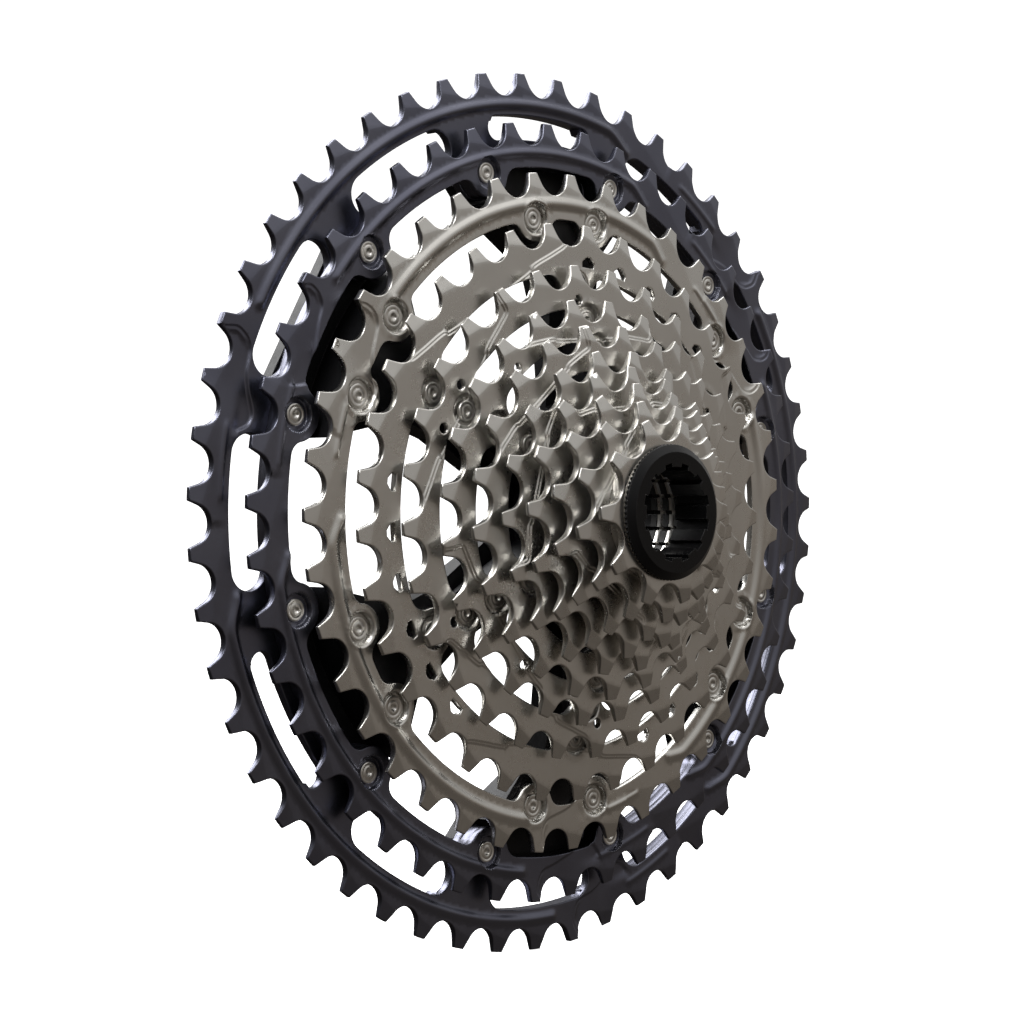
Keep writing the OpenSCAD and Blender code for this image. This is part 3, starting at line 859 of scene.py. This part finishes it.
def rivet(solid, place, head_r, seat, back):
    """A rivet with a dimple and a fine ring in its head, from its seat to its closed end."""
    top = seat + HEAD_T
    profile = (
        (0.30, top - 0.50), (0.58, top - 0.38), (0.76, top - 0.12), (0.90, top - 0.01),
        (0.98, top), (1.50, top), (1.60, top - 0.08), (1.80, top - 0.08), (1.90, top),
        (head_r - 0.24, top - 0.02), (head_r - 0.08, top - 0.09), (head_r, top - 0.24),
        (head_r, seat), (SHANK_R, seat), (SHANK_R, back), (CLOSED_R, back),
        (CLOSED_R, back - 0.5), (CLOSED_R - 0.15, back - HEAD_T), (0.30, back - HEAD_T),
    )
    angles = np.arange(RIVET_SIDES) * 360 / RIVET_SIDES
    rings = [np.column_stack([polar(r, angles) + place, np.full(RIVET_SIDES, z)])
             for r, z in profile]
    for a, b in zip(rings[:-1], rings[1:]):
        solid.ring_strip(a, b)
    for ring, drop in ((rings[0], -0.06), (rings[-1], 0)):
        base = len(solid.verts)
        solid.verts += [tuple(v) for v in ring] + [(*place, ring[0][2] + drop)]
        solid.faces += [(base + i, base + (i + 1) % RIVET_SIDES, base + RIVET_SIDES)
                        for i in range(RIVET_SIDES)]


ALL_ROUND = tuple(15 + 30 * k for k in range(12))
PAIRS = tuple(a + s for a in ARMS for s in (-8.5, 8.5))
# Circle, angles, head radius, seat and the spider's back at each set of rivets
RIVETS = {
    45: (81.4, ALL_ROUND, 2.5, FACE[45] - 1.5, FACE[51] - WEB_T - 3),
    39: (69.3, PAIRS, 2.8, FACE[39] - 1.4, FACE[39] - PLATE_T - 3),
    33: (53, ARMS, 2.5, FACE[33] - 1, FACE[33] - PLATE_T - 3),
    28: (45, ARMS, 2.5, FACE[28] - 1, FACE[33] + 0.1),
    24: (38, ARMS, 2.5, FACE[24] - 1, FACE[24] - PLATE_T - 2),
    21: (30, ARMS, 2.5, FACE[21] - 1, FACE[21] - PLATE_T - 2),
}
for teeth, (circle, angles, head, seat, back) in RIVETS.items():
    solid = Solid()
    for angle in angles:
        rivet(solid, polar(circle, angle), head, seat, back)
    node = f"rivets_{teeth}"
    add_solid(solid, f"riveting_{teeth}", SLOT_MATERIALS[slot_of[node]], body_of[node], node)

# ---- Floor, backdrop, lights and camera ----

centre = Vector((0, 0.0085, 0))
view_turn = math.radians(-45.01)
right = Vector((math.cos(view_turn), math.sin(view_turn), 0))
toward = Vector((math.sin(view_turn), -math.cos(view_turn), 0))
up = Vector((0, 0, 1))

camera_data = bpy.data.cameras.new("camera")
camera_data.lens = 87.72
camera_data.sensor_width = 36
camera_data.clip_start = 0.01
camera = bpy.data.objects.new("camera", camera_data)
bpy.context.scene.collection.objects.link(camera)
camera.location = centre - 0.00664 * right + 0.59494 * toward + 0.00008 * up
camera.rotation_euler = (-toward).to_track_quat("-Z", "Y").to_euler()
bpy.context.scene.camera = camera


def backdrop():
    """A pale floor that curves up into a wall, like a photographer's paper sweep."""
    half_w = 3.0
    front = 1.6
    back = 1.2
    bend_r = 0.5
    height = 2.6
    profile = [(front, 0.0)]
    steps = 16
    for i in range(steps + 1):
        t = math.pi / 2 * i / steps
        profile.append((-back - bend_r * math.sin(t), bend_r * (1 - math.cos(t))))
    profile.append((-back - bend_r, height))
    floor_z = cad_low.z
    verts = []
    for along, lift in profile:
        for side in (-1, 1):
            verts.append(centre + toward * along + right * side * half_w + up * (floor_z + lift))
    faces = [(2 * i, 2 * i + 1, 2 * i + 3, 2 * i + 2) for i in range(len(profile) - 1)]
    mesh = bpy.data.meshes.new("floor")
    mesh.from_pydata(verts, [], faces)
    mesh.polygons.foreach_set("use_smooth", [True] * len(mesh.polygons))
    floor = bpy.data.objects.new("floor", mesh)
    bpy.context.scene.collection.objects.link(floor)
    m = Shader("paper")
    m.link(m.mix(m.noise(6, 2), (0.88, 0.88, 0.88), (0.92, 0.92, 0.92)), m.bsdf.inputs["Base Color"])
    m.link(m.range(m.noise(30, 2), 0, 1, 0.8, 0.95), m.bsdf.inputs["Roughness"])
    m.bsdf.inputs["Emission Color"].default_value = (1, 1, 1, 1)
    m.bsdf.inputs["Emission Strength"].default_value = 0.75
    mesh.materials.append(m.material)
    floor.visible_glossy = False
    floor.visible_diffuse = False


backdrop()


def area_light(name, place, size, power):
    data = bpy.data.lights.new(name, "AREA")
    data.shape = "RECTANGLE"
    data.size, data.size_y = size
    data.energy = power
    light = bpy.data.objects.new(name, data)
    bpy.context.scene.collection.objects.link(light)
    light.location = place
    light.rotation_euler = (centre - place).to_track_quat("-Z", "Y").to_euler()


area_light("key", centre - right * 0.35 + up * 1.0 + toward * 0.75, (0.9, 0.7), 16)
area_light("top_right", centre + right * 0.6 + up * 0.8 + toward * 0.15, (0.7, 0.7), 0.8)
area_light("back_left", centre - right * 0.72 + up * 0.8 - toward * 0.45, (0.8, 0.8), 16)
area_light("back_top", centre + right * 0.1 + up * 0.95 - toward * 0.5, (0.9, 0.6), 9)


def studio_world():
    """Dim surroundings, lighter on the right and above and warmer below, white to the camera."""
    world = bpy.data.worlds.new("studio")
    world.use_nodes = True
    bpy.context.scene.world = world
    tree = world.node_tree
    background = tree.nodes["Background"]
    direction = tree.nodes.new("ShaderNodeTexCoord").outputs["Generated"]

    def towards(axis, low, high, to_low, to_high):
        dot = tree.nodes.new("ShaderNodeVectorMath")
        dot.operation = "DOT_PRODUCT"
        dot.inputs[1].default_value = axis
        tree.links.new(direction, dot.inputs[0])
        ramp = tree.nodes.new("ShaderNodeMapRange")
        ramp.interpolation_type = "SMOOTHSTEP"
        for name, value in (("From Min", low), ("From Max", high), ("To Min", to_low),
                            ("To Max", to_high)):
            ramp.inputs[name].default_value = value
        tree.links.new(dot.outputs["Value"], ramp.inputs["Value"])
        return ramp.outputs["Result"]

    def math_node(operation, a, b):
        node = tree.nodes.new("ShaderNodeMath")
        node.operation = operation
        for value, socket in ((a, node.inputs[0]), (b, node.inputs[1])):
            if isinstance(value, float):
                socket.default_value = value
            else:
                tree.links.new(value, socket)
        return node.outputs["Value"]

    height = towards(up, -0.3, 0.6, 0.15, 0.86)
    side = towards(right, -0.3, 0.6, 0.17, 0.76)
    glow = math_node("MULTIPLY", height, side)
    seen = tree.nodes.new("ShaderNodeLightPath").outputs["Is Camera Ray"]
    tree.links.new(math_node("MAXIMUM", glow, seen), background.inputs["Strength"])

    low_colour = (1, 0.87, 0.75)
    high_colour = (1, 0.985, 0.965)
    warmth = mix_colours(tree, towards(up, -0.05, 0.22, 0, 1), low_colour, high_colour)
    tree.links.new(mix_colours(tree, seen, warmth, (1, 1, 1)), background.inputs["Color"])


studio_world()

bpy.context.scene.view_settings.view_transform = "Standard"
